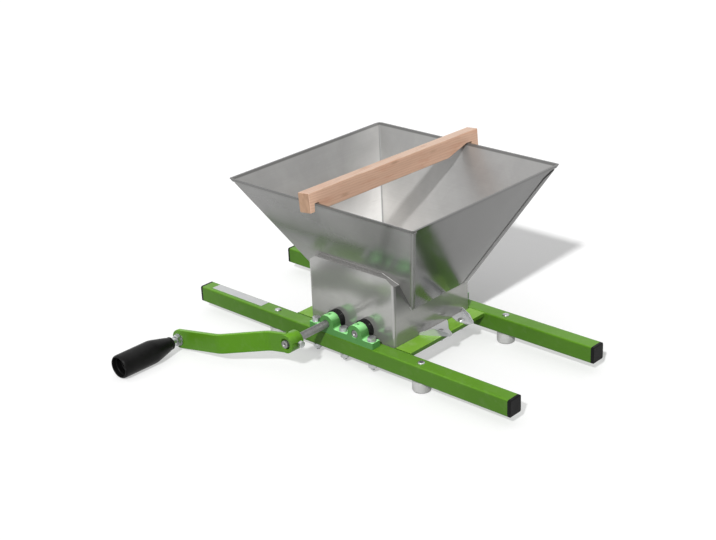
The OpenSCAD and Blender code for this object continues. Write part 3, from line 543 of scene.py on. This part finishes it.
# Domed bolts and nuts of the ears and the feet, M5
M5_R, M5_THREAD, M5_PITCH, M5_BORE, M5_FLATS, M5_NUT_T = 2.45, 4.9, 0.8, 2.52, 8.0, 4.0
EAR_DOME = [(2.45, 0.2), (4.5, 0.0), (4.5, 0.55), (4.35, 1.0), (3.8, 1.65), (3.0, 2.15), (2.0, 2.45), (1.0, 2.58),
            (0.3, 2.6)]
FOOT_DOME = [(2.45, 0.2), (4.5, 0.0), (4.5, 0.5), (4.3, 0.95), (3.6, 1.5), (2.6, 1.9), (1.5, 2.12), (0.4, 2.2)]
EAR_BOLT_X, EAR_BOLT_Y, EAR_TAIL = 87.5, 20, 2.5
FOOT_X, FOOT_Y, NUT_ABOVE_FLOOR = 122, 84, 4.0


def domed_bolt(bolts, nuts, x, y, z, dome, shank, tip, nut_z, turn):
    """A bolt with its head on z, a plain shank and a thread down to tip, both as depths, and its nut."""
    top = at(x, y, z) @ TO_MM
    lathe(bolts, dome, top, 40)
    lathe(bolts, [(M5_R, 0.3), (M5_R, -shank)], top, 24)
    thread(bolts, M5_THREAD, 0.2 - shank, -tip, M5_PITCH, top, 24)
    hexagon(nuts, M5_FLATS, M5_NUT_T, at(x, y, nut_z) @ TO_MM @ turn_z(turn), bore=M5_BORE)


bolts, nuts = bmesh.new(), bmesh.new()
for x in (-EAR_BOLT_X, EAR_BOLT_X):
    for y in (THROAT_Y - EAR_BOLT_Y, THROAT_Y + EAR_BOLT_Y):
        domed_bolt(bolts, nuts, x, y, SHEET_T, EAR_DOME, CROSSBAR_T, SHEET_T + CROSSBAR_T + M5_NUT_T + EAR_TAIL,
                   -CROSSBAR_T - M5_NUT_T, 0.3 + x)
add("ear_bolts_fine", bolts, ZINC, "frame", ["ear_bolts"])
add("ear_nuts_fine", nuts, ZINC, "frame", ["ear_nuts"])

bolts, nuts = bmesh.new(), bmesh.new()
for x in (-FOOT_X, FOOT_X):
    for y in (-FOOT_Y, FOOT_Y):
        domed_bolt(bolts, nuts, x, y, 0, FOOT_DOME, RAIL_T, FLOOR_H - NUT_ABOVE_FLOOR,
                   NUT_ABOVE_FLOOR - FLOOR_H, 0.5 * x)
add("foot_bolts_fine", bolts, ZINC, "frame", ["foot_bolts"])
add("foot_nuts_fine", nuts, ZINC, "frame", ["foot_nuts"])

# The crank's set screw, and the grip's spindle with its nuts
SCREW_BACK, SCREW_TURN, SCREW_HEAD = 12, math.radians(101), 14      # from the hub's front; from the axis
screw = bmesh.new()
to_screw = CRANK @ Matrix.Translation((0, HUB_FRONT + SCREW_BACK, 0)) @ Matrix.Rotation(SCREW_TURN, 4, "Y")
lathe(screw, [(M5_R, SHAFT_R + 0.05), (M5_R, 12.4)], to_screw, 28)
thread(screw, M5_THREAD, 12.2, SCREW_HEAD + 0.3, M5_PITCH, to_screw)
hexagon(screw, M5_FLATS, M5_NUT_T, to_screw @ Matrix.Translation((0, 0, SCREW_HEAD)) @ turn_z(0.35))
add("crank_set_screw_fine", screw, ZINC, "drive", ["crank_set_screw"])

SPINDLE_WASHER_T, FRONT_NUT_T, BACK_NUT_T = 1.4, 5.5, 5.0
M8_FLATS, M8_BORE, M8_THREAD, M8_PITCH, M8_R = 13.0, 4.02, 7.95, 1.25, 3.97
GRIP_BORE_DEPTH, HEAD_GAP = 42, 0.3
spindle_back = ARM_FRONT + ARM_T + SPINDLE_WASHER_T + BACK_NUT_T
spindle_head = GRIP_START - GRIP_LEN + GRIP_BORE_DEPTH - HEAD_GAP
spindle_nuts = bmesh.new()
front_nut = GRIP @ Matrix.Translation((0, ARM_FRONT - SPINDLE_WASHER_T, 0)) @ TO_FRONT @ turn_z(0.2)
hexagon(spindle_nuts, M8_FLATS, FRONT_NUT_T, front_nut, bore=M8_BORE)
back_nut = GRIP @ Matrix.Translation((0, spindle_back, 0)) @ TO_FRONT
hexagon(spindle_nuts, M8_FLATS, BACK_NUT_T, back_nut, bore=M8_BORE)
add("spindle_nuts_fine", spindle_nuts, ZINC, "drive", ["spindle_nuts"])

spindle = bmesh.new()
base = GRIP @ TO_FRONT
thread(spindle, M8_THREAD, 8 - ARM_FRONT, -spindle_back, M8_PITCH, base, 36)
lathe(spindle, [(M8_R, 7.8 - ARM_FRONT), (M8_R, 2 - spindle_head)], base, 40)
lathe(spindle, [(r, z - spindle_head) for r, z in ((6.6, 0), (7.0, 0.4), (7.0, 3.2), (6.2, 3.9), (3.0, 4.0),
                                                   (2.6, 2.6), (0.4, 2.5))], base, 48)
add("grip_spindle_fine", spindle, ZINC, "drive", ["grip_spindle"])

# Welds between the crossbars and the rails
welds = bmesh.new()
for sx in (-1, 1):
    for sy in (-1, 1):
        to_middle = (0, -sy, 0)
        for k, x in enumerate((CROSSBAR_IN, CROSSBAR_OUT)):
            outward = (sx * (1 if k else -1), 0, 0)
            top = place(sx * x, sy * RAIL_IN, 0)
            bead(welds, top - Vector((0, 0, CROSSBAR_T / 1000)), top, 0.0017, to_middle, outward, k + sx)
        ends = (place(sx * x, sy * RAIL_IN, -CROSSBAR_T) for x in (CROSSBAR_IN + 0.4, CROSSBAR_OUT - 0.4))
        bead(welds, *ends, 0.0021, (0, 0, -1), to_middle, sx + 2 * sy)
add("frame_weld_beads", welds, GREEN, "frame", smooth=60)

# Beads that close the slit between the sheets at the hopper's two lapped corners
BEAD_IN, BEAD_LOW, BEAD_RUN = 0.75, 0.6, 148.6
seams = bmesh.new()
for side in (-1, 1):
    rows = []
    for k in range(49):
        t = k / 48
        x, y = (foot + (rim - foot) * t - BEAD_IN for foot, rim in (HOPPER_X, HOPPER_Y))
        c = place(side * x, THROAT_Y - side * y, HOPPER_Z[0] + BEAD_LOW + BEAD_RUN * t)
        r = (1.05 + 0.05 * math.sin(23 * t + side)) / 1000
        rows.append([c + Vector(p) for p in circle(r, 0, 12)])
    grid(seams, rows, Matrix.Identity(4))
add("hopper_seam_beads", seams, SHEET, "frame", smooth=60)

# Weld between the crank's arm and its hub, on the side that the arm leaves
hub_weld = bmesh.new()
rows = []
for k in range(96):
    a = 2 * math.pi * k / 96
    if math.cos(a) >= -0.06:
        continue
    r = 1.5 * (0.82 + 0.24 * abs(math.sin(a * 26)))
    row = []
    for i in range(8):
        t = math.radians(-30 + 150 * i / 7)
        out = HUB_R + r * math.cos(t) - 0.2
        row.append((out * math.cos(a), ARM_ROOT + ARM_T + r * math.sin(t) - 0.2, out * math.sin(a)))
    rows.append(row)
grid(hub_weld, rows, CRANK)
add("hub_weld_bead", hub_weld, CRANK_LIT_PAINT, "drive", smooth=60)


# Shafts with chamfered ends and centre holes
def shaft(name, matrix, front, back, body):
    """A shaft between two places along Y. Its ends are lists of radius and depth from the end face."""
    near = [(0.15, 4.4), (1.3, 3.4), (1.3, 1.5), (2.45, 0.25), (2.75, 0), (4.0, 0), (4.75, 0.35), (SHAFT_R, 1.0)]
    far = [(SHAFT_R, 1.0), (4.2, 0), (2.45, 0), (1.3, 1.4), (1.3, 3.4), (0.15, 4.4)]
    bm = bmesh.new()
    lathe(bm, [(r, -front - depth) for r, depth in near] + [(r, -back + depth) for r, depth in far],
          matrix @ TO_FRONT, 64)
    add(name + "_fine", bm, SHAFT, body, [name], smooth=30)


shaft("drive_shaft", CRANK, HUB_FRONT - 2.0, RAIL_OUT, "drive")
shaft("driven_shaft", at(SHAFT_X, 0, SHAFT_Z) @ TO_MM, -RAIL_OUT, RAIL_OUT, "driven")


# The crank's arm with round bends
def rounded_path(corners, radius, steps=9):
    """Points and directions along a path whose inner corners are arcs."""
    corners = [Vector(c) for c in corners]
    path = [(corners[0], (corners[1] - corners[0]).normalized())]
    for before, c, after in zip(corners, corners[1:], corners[2:]):
        d0, d1 = (c - before).normalized(), (after - c).normalized()
        run = radius * math.tan(d0.angle(d1) / 2)
        for k in range(steps):
            t = k / (steps - 1)
            p = (c - d0 * run) * (1 - t) ** 2 + c * 2 * t * (1 - t) + (c + d1 * run) * t * t
            path.append((p, (d0 * (1 - t) + d1 * t).normalized()))
    path.append((corners[-1], (corners[-1] - corners[-2]).normalized()))
    return path


ARM_EDGE = 0.8                                  # radius of the arm's long edges
root_y, front_y = ARM_ROOT + ARM_T / 2, ARM_FRONT + ARM_T / 2
half_t, half_w = ARM_T / 2, ARM_W / 2
mitre = ARM_T * math.tan(math.atan(ARM_STEP / JOG_RUN) / 2) / 2
line = rounded_path([(-14.5, root_y), (-JOG - mitre, root_y), (-JOG - JOG_RUN - mitre, front_y),
                     (-CRANK_R, front_y)], 30.0)
line += [(Vector((-CRANK_R - half_w * math.sin(math.pi / 2 * k / 12.2), front_y)), Vector((-1, 0)))
         for k in range(1, 13)]
section = []
for sign_t, sign_w, start in ((1, 1, 0), (-1, 1, 90), (-1, -1, 180), (1, -1, 270)):
    ct, cw = sign_t * (half_t - ARM_EDGE), sign_w * (half_w - ARM_EDGE)
    for k in range(5):
        a = math.radians(start + 22.5 * k)
        section.append((ct + ARM_EDGE * math.cos(a), cw + ARM_EDGE * math.sin(a)))
    if start in (90, 270):                      # points along the long sides, for the hub's round
        section += [(sign_t * half_t, cw * (1 - k / 5)) for k in range(1, 10)]
rows = [[(-math.sqrt(max(0.0, 11.8 ** 2 - w * w)), root_y - t, w) for t, w in section]]
for p, d in line:
    over = max(0.0, -p.x - CRANK_R)
    narrow = math.sqrt(max(0.0, 1 - (over / half_w) ** 2))
    rows.append([(p.x - d.y * t, p.y + d.x * t, w * narrow) for t, w in section])
arm = bmesh.new()
grid(arm, rows, CRANK)
add("crank_arm_fine", arm, CRANK_LIT_PAINT, "drive", ["crank_arm"], smooth=35)

# Seals, with a lip and a groove, from the blocks' inner faces towards the middle
SEAL_Y, FRONT_SEAL, REAR_SEAL = 81.0, 8.0, 11.0
seals = bmesh.new()
for x in (-SHAFT_X, SHAFT_X):
    for y, sign, length in ((-SEAL_Y, 1, FRONT_SEAL), (SEAL_Y, -1, REAR_SEAL)):
        half = length / 2
        profile = [(6.0, 0.0), (8.2, 0.0), (8.6, 0.5), (9.4, 0.5), (9.8, 0.0), (11.9, 0.0), (12.5, 0.35),
                   (12.7, 0.9), (12.7, half), (12.25, half + 0.25), (12.25, half + 0.8), (12.7, half + 1.1),
                   (12.7, length), (6.0, length)]
        turned = Matrix.Rotation(-sign * math.pi / 2, 4, "X")
        lathe(seals, profile, at(x, y, SHAFT_Z) @ TO_MM @ turned, 72, True)
add("shaft_seals_fine", seals, RUBBER, "frame", ["shaft_seals"])

# Grip: collar, cone, barrel, rounded end, and a wide bore with three ribs
BORE_R, RIB_R, SPINDLE_HOLE_R, BORE_FLOOR = 12.9, 12.5, 4.05, GRIP_LEN - GRIP_BORE_DEPTH
profile = [(SPINDLE_HOLE_R, 0.0), (6.4, 0.0), (7.0, 0.0), (7.9, 0.35), (8.4, 1.0), (8.5, 1.9), (8.5, 3.0),
           (8.25, 3.4), (8.25, 4.0), (8.7, 4.5), (9.9, 8.5), (11.6, 15.5), (13.3, 22.5), (14.5, 27.6), (15.1, 30.4),
           (15.4, 33.0), (GRIP_R, 36.0), (GRIP_R, 60.0), (GRIP_R, 82.4), (15.36, 83.9), (14.95, 85.1), (14.3, 85.9),
           (13.7, GRIP_LEN), (13.3, 86.1), (13.0, 85.6), (BORE_R, 84.9)]
for rib in (80.0, 72.0, 64.0):
    profile += [(BORE_R, rib), (RIB_R, rib - 0.4), (RIB_R, rib - 1.4), (BORE_R, rib - 1.8)]
profile += [(BORE_R, BORE_FLOOR), (SPINDLE_HOLE_R, BORE_FLOOR)]
grip = bmesh.new()
lathe(grip, profile, GRIP @ Matrix.Translation((0, GRIP_START, 0)) @ TO_FRONT, 96, True)
add("grip_moulding", grip, BLACK, "grip", ["grip"], smooth=32)


# Softened edges on the carried-over nodes
def soften(name, width):
    join = nodes[name].modifiers.new("join", "WELD")
    join.merge_threshold = 0.00001
    edge = nodes[name].modifiers.new("edge", "BEVEL")
    edge.width = width
    edge.segments = 2
    edge.limit_method = "ANGLE"
    edge.angle_limit = math.radians(40)
    edge.use_clamp_overlap = True
    edge.harden_normals = True


for name, width in (("pusher_bar", 0.0009), ("left_crossbar", 0.0004), ("right_crossbar", 0.0004),
                    ("crank_hub", 0.0007), ("front_bearing_block", 0.0008), ("rear_bearing_block", 0.0008)):
    soften(name, width)

# Camera, fitted to the photograph: metres from the source's zero, angles in radians, focal length in pixels
CAMERA_AT = Vector((1.0950624, -1.2158688, 0.7735889))
YAW, PITCH, ROLL = 0.7575076723535051, 0.41041323403644386, -0.04399050370924817
FOCAL_PX, PHOTO_W, SENSOR = 1400.26, 716, 36.0
back_axis = Vector((math.sin(YAW) * math.cos(PITCH), -math.cos(YAW) * math.cos(PITCH), math.sin(PITCH)))
level = Vector((math.cos(YAW), math.sin(YAW), 0))
upright = back_axis.cross(level)
right = math.cos(ROLL) * level + math.sin(ROLL) * upright
up = -math.sin(ROLL) * level + math.cos(ROLL) * upright
camera_data = bpy.data.cameras.new("camera")
camera_data.sensor_width = SENSOR
camera_data.sensor_fit = "HORIZONTAL"
camera_data.lens = FOCAL_PX / PHOTO_W * SENSOR
camera_data.clip_start = 0.02
camera_data.clip_end = 60
camera = bpy.data.objects.new("camera", camera_data)
camera.matrix_world = (Matrix.Translation(CAMERA_AT + place(0, 0, 0))
                       @ Matrix((right, up, back_axis)).transposed().to_4x4())
bpy.context.scene.collection.objects.link(camera)
bpy.context.scene.camera = camera


# Lights
def sun(name, energy, spread):
    data = bpy.data.lights.new(name, "SUN")
    data.energy = energy
    data.angle = math.radians(spread)
    obj = bpy.data.objects.new(name, data)
    bpy.context.scene.collection.objects.link(obj)
    return obj


SUN_FROM = Vector((0.353, -0.702, 0.618))
sun("key", 2.75, 3).matrix_world = SUN_FROM.to_track_quat("Z", "Y").to_matrix().to_4x4()
sun("overhead", 1.15, 110)

# World: white where it is seen, and a dim light on the object
world = bpy.data.worlds.new("surroundings")
bpy.context.scene.world = world
sky = Nodes(world, "ShaderNodeOutputWorld")
strength = sky.remap(sky.background_rays(), 0.0, 1.0, 0.20, 1.0)
sky.put(sky.surface, sky.node("ShaderNodeBackground", Color=(1, 1, 1, 1), Strength=strength).outputs[0])

# Floor: near the machine it glows more where it is seen, which lightens the object's shadows there as painted
# light; further back plain white with the hopper's shadow
floor_bm = bmesh.new()
bmesh.ops.create_grid(floor_bm, x_segments=2, y_segments=2, size=9.0)
floor_mesh = bpy.data.meshes.new("floor")
floor_bm.to_mesh(floor_mesh)
floor_bm.free()
floor = bpy.data.objects.new("floor", floor_mesh)
bpy.context.scene.collection.objects.link(floor)
floor_look = bpy.data.materials.new("white_floor")
ground = Nodes(floor_look, "ShaderNodeOutputMaterial")
seen = ground.background_rays()
spot = ground.node("ShaderNodeSeparateXYZ", Vector=ground.node("ShaderNodeTexCoord").outputs["Object"]).outputs
near = ground.times(ground.remap(ground.math("ABSOLUTE", spot["X"]), 0.30, 0.40, 1.0, 0.0, "SMOOTHSTEP"),
                    ground.remap(spot["Y"], 0.155, 0.200, 1.0, 0.0, "SMOOTHSTEP"))
albedo = ground.remap(near, 0.0, 1.0, 0.97, 0.55)
glow = ground.remap(near, 0.0, 1.0, 0.01, 0.46)
diffuse = ground.node("ShaderNodeBsdfDiffuse", Color=ground.remap(seen, 0.0, 1.0, 0.60, albedo))
emission = ground.node("ShaderNodeEmission", Strength=ground.times(seen, glow))
both = ground.node("ShaderNodeAddShader")
ground.put(both.inputs[0], diffuse.outputs[0])
ground.put(both.inputs[1], emission.outputs[0])
ground.put(ground.surface, both.outputs[0])
floor_mesh.materials.append(floor_look)

bpy.context.scene.view_settings.view_transform = "Standard"
